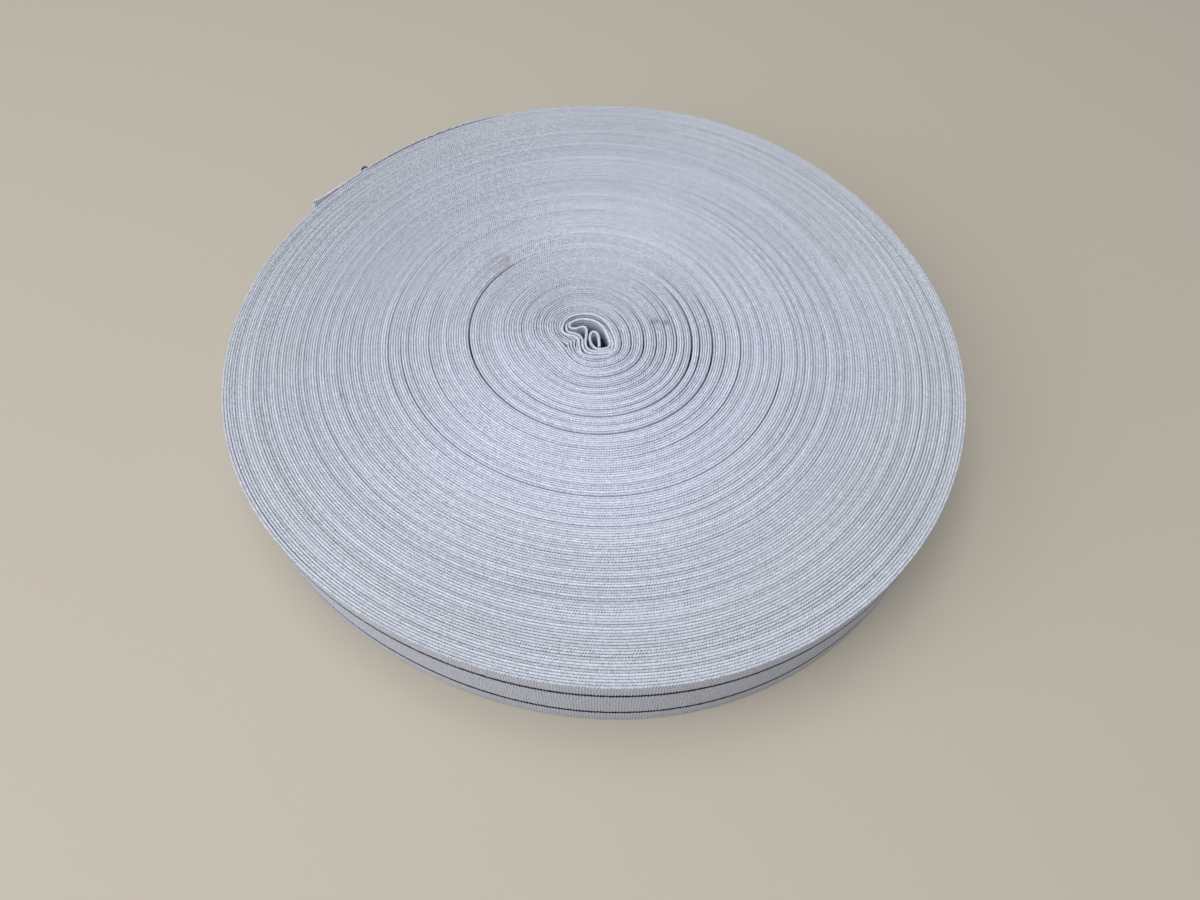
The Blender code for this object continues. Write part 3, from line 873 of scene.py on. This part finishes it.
# %% [markdown]
# ## The weave
#
# Seen close, the tape has weft rows about a millimetre apart across its length, crossed by cords of warp.
# On the faces that gives small brick-like bumps, and at the edges each weft row turns back in a loop, which
# shows as a bead with a dark nick on both sides. The group gets the length and the way round the section
# from the UV map and the place across the thickness from the mesh. It gives out a height and masks of the
# nicks, the ribs, the edge and the crest of the edge.

# %% Weave group
CORD_PITCH = 1.2 * MM
LOOP_SLANT = 0.30               # how far a loop leans along the tape from one face to the other, in picks
PICK_WANDER = 1.1               # how far the weft rows wander from their even pitch, in picks
PATCH_NOISE = (0.36, 0.62)      # the noise at which a patch of the weave is at its flattest and its deepest
NICK_PATCHES = (0.35, 1.35)     # how strong the nicks are there
RIB_PATCHES = (0.40, 1.50)      # and the weft rows of the faces


def wave(rounds):
    """Cosine that comes round once for each whole number."""
    return calc("COSINE", rounds * (2.0 * math.pi))


weave_group, entry, result = new_group(
    "tape weave", {"Pick Pitch": PICK_PITCH, "Cord Pitch": CORD_PITCH, "Pick Ribs": 0.25, "Cord Ribs": 0.2},
    ["Height", "Nicks", "Ribs", "Edge", "Crest"])
place = tape_place(weave_group)
across = stored(weave_group, "across")
off_middle = calc("ABSOLUTE", across)
edge = calc("LESS_THAN", off_middle, 0.999)
patches = noise(place, 420.0, 2.0, "2D")
picks = axis(place, "X") / entry["Pick Pitch"] + noise(place, 220.0, 3.0, "2D") * PICK_WANDER
pick_wave = wave(picks)
cord_wave = wave(axis(place, "Y") / entry["Cord Pitch"])
loop_wave = wave(across * LOOP_SLANT + picks)
nicks = fade(loop_wave, -0.2, 0.8) * fade(off_middle, 0.15, 0.90, 0.30, 1.0)
nicks = nicks * fade(patches, *PATCH_NOISE, *NICK_PATCHES) * edge * stored(weave_group, "loops")
crest = fade(off_middle, 0.75, 0.1) * edge * fade(loop_wave, 0.7, -0.6, 0.45, 1.0)
ribs = pick_wave * cord_wave * 0.12 + 0.5
ribs = ribs + pick_wave * fade(patches, *PATCH_NOISE, *RIB_PATCHES) * entry["Pick Ribs"]
ribs = ribs + cord_wave * entry["Cord Ribs"]
height = ribs * (1.0 - edge) + (nicks * -0.8 + 0.9) * edge
feed_all(result, Height=height, Nicks=nicks, Ribs=ribs, Edge=edge, Crest=crest)

# %% [markdown]
# ## The stripes
#
# Two dark blue warp threads run the whole length of the tape, a quarter of its width in from each edge. A
# weft row passes over them again and again, so each is a fine dashed line. The group gives out a mask from
# the height on the roll and from the length along the tape.

# %% Stripe group
UPPER_STRIPE = TAPE_WIDTH - 9.2 * MM
LOWER_STRIPE = TAPE_WIDTH - 29.7 * MM
STRIPE_HALF_WIDTH = 1.25 * MM
STRIPE_WANDER = 1.0 * MM

stripe_group, entry, result = new_group(
    "stripe thread", {"Middle": UPPER_STRIPE, "Half Width": STRIPE_HALF_WIDTH, "Dash": 0.5}, ["Mask"])
place = tape_place(stripe_group)
wander = (noise(place, 700.0, 1.0, "2D") - 0.5) * STRIPE_WANDER
distance = calc("ABSOLUTE", axis(object_place(stripe_group), "Z") - entry["Middle"] + wander)
dashes = wave(axis(place, "X") / PICK_PITCH) * (entry["Dash"] * 0.5)
width = entry["Half Width"] * (dashes + 0.85)
feed_all(result, Mask=fade(width - distance, -0.12 * MM, 0.14 * MM))

# %% [markdown]
# ## Handling marks
#
# The white tape has picked up a few marks: brownish streaks above the eye, a grey smudge to its right and
# some specks. Its rim is drawn a little duller and greyer in the elastic material, which is painted shade. A
# mark is an oval in plan, broken into streaks that run along the turns, so the group works in polar
# coordinates.

# %% Mark group
STREAKS_ACROSS = 900.0          # streaks in a metre across the turns
STREAKS_ALONG = 130.0           # and along them

middle = (float(roll_centre[0]), float(roll_centre[1]))


def polar(place, centre=(0.0, 0.0)):
    """Radius and angle of a place in plan about a centre."""
    x = axis(place, "X") - centre[0]
    y = axis(place, "Y") - centre[1]
    return calc("SQRT", x * x + y * y), calc("ARCTAN2", y, x)


mark_group, entry, result = new_group(
    "handling mark", {"Place": (0.0, 0.0, 0.0), "Size Along": 0.01, "Size Across": 0.005, "Streaks": 0.5},
    ["Mask"])
radius, angle = polar(object_place(mark_group), middle)
mark_radius, mark_angle = polar(entry["Place"])
across_way = (radius - mark_radius) / entry["Size Across"]
along_way = (angle - mark_angle) * radius / entry["Size Along"]
oval = calc("SQRT", across_way * across_way + along_way * along_way)
streak_place = add_value(mark_group, "ShaderNodeCombineXYZ", "Vector", X=radius * STREAKS_ACROSS,
                         Y=angle * radius * STREAKS_ALONG)
broken = (noise(streak_place, 1.0, 3.0) - 0.5) * (entry["Streaks"] * 4.0) + 1.0
mask = fade(oval, 1.1, 0.2) * calc("MAXIMUM", broken, 0.0)
feed_all(result, Mask=calc("MINIMUM", mask, 1.0))

# %% [markdown]
# ## Woven elastic
#
# The material is matt and bluish white. Its colour goes from the bright loops of the edge to the greyer
# faces, each turn has a tone of its own, and the stripes and marks are laid over it. The weave's height
# feeds a bump. Slow noise over the whole roll keeps the large surface from looking even.

# %% Elastic material
EDGE_COLOUR = (0.675, 0.71, 0.82, 1.0)
FACE_COLOUR = (0.56, 0.58, 0.69, 1.0)
NICK_COLOUR = (0.22, 0.24, 0.31, 1.0)
SPECK_COLOUR = (0.80, 0.81, 0.84, 1.0)
RIM_PAINTED_SHADE_COLOUR = (0.95, 0.95, 0.91, 1.0)    # painted shade: the duller, greyer tint of the rim
CORE_SHADE = 0.07               # painted shade: how much duller the turns round the eye are drawn
RIM_SHADE = 0.06                # painted shade: how much duller the rim is drawn than the middle of the roll
CREST_LIGHT = 0.08              # painted highlight: how much brighter the crest of a proud turn is drawn
SUNK_SHADE = 0.06               # painted shade: how much darker a sunk turn is drawn
TONE_RANGE = 0.12               # how strongly the tone of the turns differs
SLOW_RANGE = 0.16               # how strongly the slow patches over the whole roll differ
GRAIN = 0.75                    # how strongly the single fibres differ
STRIPE_STRENGTH = 0.98
STRIPE_COLOUR = (0.006, 0.009, 0.028, 1.0)
MARKS = [
    # x and y in mm, size along and across the turns in mm, streaks, strength, colour
    (-43.6, 37.6, 8.0, 10.5, 2.6, 0.32, (0.40, 0.35, 0.34, 1.0)),
    (-41.5, 40.0, 6.5, 5.0, 2.0, 0.30, (0.40, 0.33, 0.30, 1.0)),
    (-46.5, 46.0, 6.0, 4.0, 2.6, 0.22, (0.42, 0.35, 0.32, 1.0)),
    (26.8, 3.0, 2.4, 3.0, 1.4, 0.70, (0.27, 0.26, 0.27, 1.0)),
    (31.5, 2.4, 2.2, 2.6, 1.4, 0.70, (0.27, 0.26, 0.27, 1.0)),
    (16.2, 110.8, 7.0, 1.6, 0.6, 0.30, (0.42, 0.36, 0.32, 1.0)),
    (-103.0, -36.0, 2.5, 1.0, 0.2, 0.50, (0.28, 0.27, 0.28, 1.0)),
    (9.9, 93.2, 9.0, 2.0, 0.8, 0.25, (0.45, 0.38, 0.34, 1.0)),
    (-12.6, -111.3, 6.0, 1.4, 0.5, 0.25, (0.40, 0.36, 0.34, 1.0)),
]


def new_material(name):
    """Material with a fresh node tree and its Principled shader."""
    material = bpy.data.materials.new(name)
    material.use_nodes = True
    return material, material.node_tree, material.node_tree.nodes["Principled BSDF"]


def elastic_material(name, nick_strength, rib_strength, bump_strength, pick_ribs=0.20, cord_ribs=0.10,
                     cord_pitch=CORD_PITCH, depth_shade=0.0):
    """Woven elastic with its own strength of nicks, ribs and bump, and of the painted shade between its two
    edges.
    """
    material, tree, shader = new_material(name)
    weave = use_group(tree, weave_group, Pick_Ribs=pick_ribs, Cord_Ribs=cord_ribs, Cord_Pitch=cord_pitch)
    edge = weave["Edge"]
    proud = stored(tree, "proud")
    place = object_place(tree)
    from_middle, _ = polar(place, middle)

    shade = (weave["Ribs"] - 0.5) * (1.0 - edge) * rib_strength + 1.0
    # the stored tone holds each turn's own random tone, with painted shade at the back and painted light by
    # the cut
    shade = shade + (stored(tree, "tone") - 0.5) * TONE_RANGE
    shade = shade + (noise(place, 14.0, 3.0) - 0.5) * SLOW_RANGE
    shade = shade + (noise(place, 950.0, 3.0) - 0.5) * GRAIN
    # painted shade: the rim is drawn duller than the middle of the roll
    shade = shade - fade(from_middle, 0.3 * ROLL_RADIUS, ROLL_RADIUS, 0.0, RIM_SHADE)
    # painted shade: the turns round the eye are drawn duller
    shade = shade - fade(from_middle, 0.05 * ROLL_RADIUS, 0.45 * ROLL_RADIUS, CORE_SHADE, 0.0)
    # painted highlight on the crest of a proud turn and painted shade on a sunk one
    shade = shade + calc("MAXIMUM", proud, 0.0) * weave["Crest"] * CREST_LIGHT
    shade = shade + calc("MINIMUM", proud, 0.0) * edge * SUNK_SHADE
    # painted shade: the walls of the eye's hollow are drawn darker away from both edges
    if depth_shade:
        height = axis(place, "Z")
        from_edge = calc("MINIMUM", height, TAPE_WIDTH - height)
        shade = shade * (1.0 - fade(from_edge, 0.6 * MM, 13.0 * MM, 0.0, depth_shade))

    grey = add_value(tree, "ShaderNodeCombineColor", "Color", Red=shade, Green=shade, Blue=shade)
    # painted shade: the rim is tinted duller and greyer than the middle of the roll
    rim_shade_share = fade(from_middle, 0.45 * ROLL_RADIUS, 0.95 * ROLL_RADIUS)
    specks = fade(noise(place, 700.0, 1.0), 0.70, 0.76, 0.0, 0.5)
    colour = blend_colours(tree, edge, FACE_COLOUR, EDGE_COLOUR)
    colour = blend_colours(tree, 1.0, colour, grey, "MULTIPLY")
    colour = blend_colours(tree, rim_shade_share, colour, RIM_PAINTED_SHADE_COLOUR, "MULTIPLY")
    colour = blend_colours(tree, specks, colour, SPECK_COLOUR)
    colour = blend_colours(tree, weave["Nicks"] * nick_strength, colour, NICK_COLOUR)
    for x, y, along, across, streaks, strength, mark_colour in MARKS:
        mark = use_group(tree, mark_group, Place=(x * MM, y * MM, 0.0), Size_Along=along * MM,
                         Size_Across=across * MM, Streaks=streaks)
        colour = blend_colours(tree, mark["Mask"] * strength, colour, mark_colour)
    for stripe_height in (UPPER_STRIPE, LOWER_STRIPE):
        stripe = use_group(tree, stripe_group, Middle=stripe_height)
        on_face = stripe["Mask"] * (1.0 - edge)
        colour = blend_colours(tree, on_face * STRIPE_STRENGTH, colour, STRIPE_COLOUR)
    bump = add_value(tree, "ShaderNodeBump", "Normal", Height=weave["Height"], Strength=bump_strength,
                     Distance=0.18 * MM)
    feed_all(shader, Base_Color=colour, Normal=bump, Roughness=fade(weave["Ribs"], 0.1, 0.9, 0.92, 0.78),
             Specular_IOR_Level=0.15)
    return material


wound_elastic = elastic_material("elastic_wound", nick_strength=0.88, rib_strength=0.75, bump_strength=0.6)
eye_elastic = elastic_material("elastic_eye", nick_strength=0.45, rib_strength=0.80, bump_strength=0.8,
                               pick_ribs=0.08, cord_ribs=0.36, cord_pitch=1.5 * MM, depth_shade=0.55)

# %% [markdown]
# The loose yarns have lost their dressing, so they are paler than the cloth, and each is mottled along its
# length by the twist of its fibres.

# %% Yarn material
YARN_PALE = (0.86, 0.87, 0.88, 1.0)
YARN_GREY = (0.58, 0.60, 0.66, 1.0)

yarn_finish, tree, shader = new_material("yarn_loose")
fibres = noise(object_place(tree), 2200.0, 3.0)
feed_all(shader, Base_Color=blend_colours(tree, fade(fibres, 0.35, 0.65), YARN_GREY, YARN_PALE),
         Roughness=fade(fibres, 0.3, 0.7, 0.95, 0.8), Sheen_Weight=0.3)

# %% [markdown]
# ## Bead and wire
#
# The bead is glass or hard plastic: dark blue all through, with a clear coat that mirrors the light and a
# few dull spots where fingers held it. The wire is drawn steel, its roughness mottled by fine noise.

# %% Bead and wire materials
BEAD_COLOUR = (0.004, 0.010, 0.060, 1.0)
BEAD_WORN_COLOUR = (0.012, 0.022, 0.085, 1.0)
STEEL_COLOUR = (0.52, 0.52, 0.53, 1.0)

bead_finish, tree, shader = new_material("bead_blue")
worn = fade(noise(object_place(tree), 900.0, 3.0), 0.45, 0.7)
feed_all(shader, Base_Color=blend_colours(tree, worn, BEAD_COLOUR, BEAD_WORN_COLOUR),
         Roughness=fade(worn, 0.0, 1.0, 0.12, 0.3), Coat_Weight=1.0, Coat_IOR=1.6, Coat_Roughness=0.05)

wire_finish, tree, shader = new_material("wire_steel")
drawn = noise(object_place(tree), 2500.0, 2.0)
feed_all(shader, Base_Color=STEEL_COLOUR, Metallic=1.0, Roughness=fade(drawn, 0.3, 0.7, 0.22, 0.4))

# %% [markdown]
# ## Putting the pieces on the frame
#
# Every piece is parented to the body root and gets its finish, and the imported node whose place it takes is
# hidden. The bead does the same, and the pin's wire keeps its imported shape with a steel finish.

# %% Pieces on the body
finishes = [(piece, wound_elastic, "wound_roll", "elastic") for piece in wound_pieces]
finishes += [
    (eye_folds, eye_elastic, "wound_roll", "elastic"),
    (loose_end, wound_elastic, "loose_end", "elastic"),
    (frayed_yarns, yarn_finish, "loose_end", "elastic"),
]
for piece, finish, node, slot in finishes:
    piece.data.materials.append(finish)
    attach(piece, "root")
    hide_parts(node)
bead.data.materials.append(bead_finish)
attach(bead, "root")
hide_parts("pin_head")
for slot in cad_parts["pin_shank"].material_slots:
    slot.material = wire_finish

# %% [markdown]
# ## Floor and light
#
# The floor is a plain pale sheet. The light is that of a bright room: a large soft panel above and a little
# in front, a wide window to the left, a small high one behind that glints on the bead, and an even sky for
# the rest, so the shadow under the rim is short and soft.

# %% Stage
FLOOR_HALF = 3.0
FLOOR_COLOUR = (0.50, 0.45, 0.375, 1.0)
SKY_COLOUR = (0.92, 0.96, 1.0, 1.0)
SKY_STRENGTH = 0.37

floor_mesh = bpy.data.meshes.new("floor")
floor_corners = [(x * FLOOR_HALF, y * FLOOR_HALF, 0.0) for x, y in ((-1, -1), (1, -1), (1, 1), (-1, 1))]
floor_mesh.from_pydata(floor_corners, [], [(0, 1, 2, 3)])
floor = add_object("floor", floor_mesh)
floor_finish, tree, shader = new_material("floor_pale")
feed_all(shader, Base_Color=FLOOR_COLOUR, Roughness=0.6)
floor_mesh.materials.append(floor_finish)

LIGHTS = [
    # name, place in m, size in m, power in W
    ("ceiling_panel", (-0.1, -0.35, 1.5), 1.5, 11.5),
    ("window_side", (-1.5, -0.7, 0.9), 1.6, 19.0),
    ("window_high", (-0.24, 0.48, 1.5), 0.6, 2.6),
]
for name, place, size, power in LIGHTS:
    lamp = bpy.data.lights.new(name, "AREA")
    lamp.size = size
    lamp.energy = power
    lamp_object = add_object(name, lamp)
    lamp_object.location = place
    lamp_object.rotation_euler = (-Vector(place)).to_track_quat("-Z", "Y").to_euler()

world = bpy.data.worlds.new("room")
world.use_nodes = True
feed_all(world.node_tree.nodes["Background"], Color=SKY_COLOUR, Strength=SKY_STRENGTH)
bpy.context.scene.world = world
bpy.context.scene.view_settings.view_transform = "Standard"

# %% [markdown]
# ## Finish
#
# The view layer is brought up to date with all the pieces.

# %% Finish
bpy.context.view_layer.update()
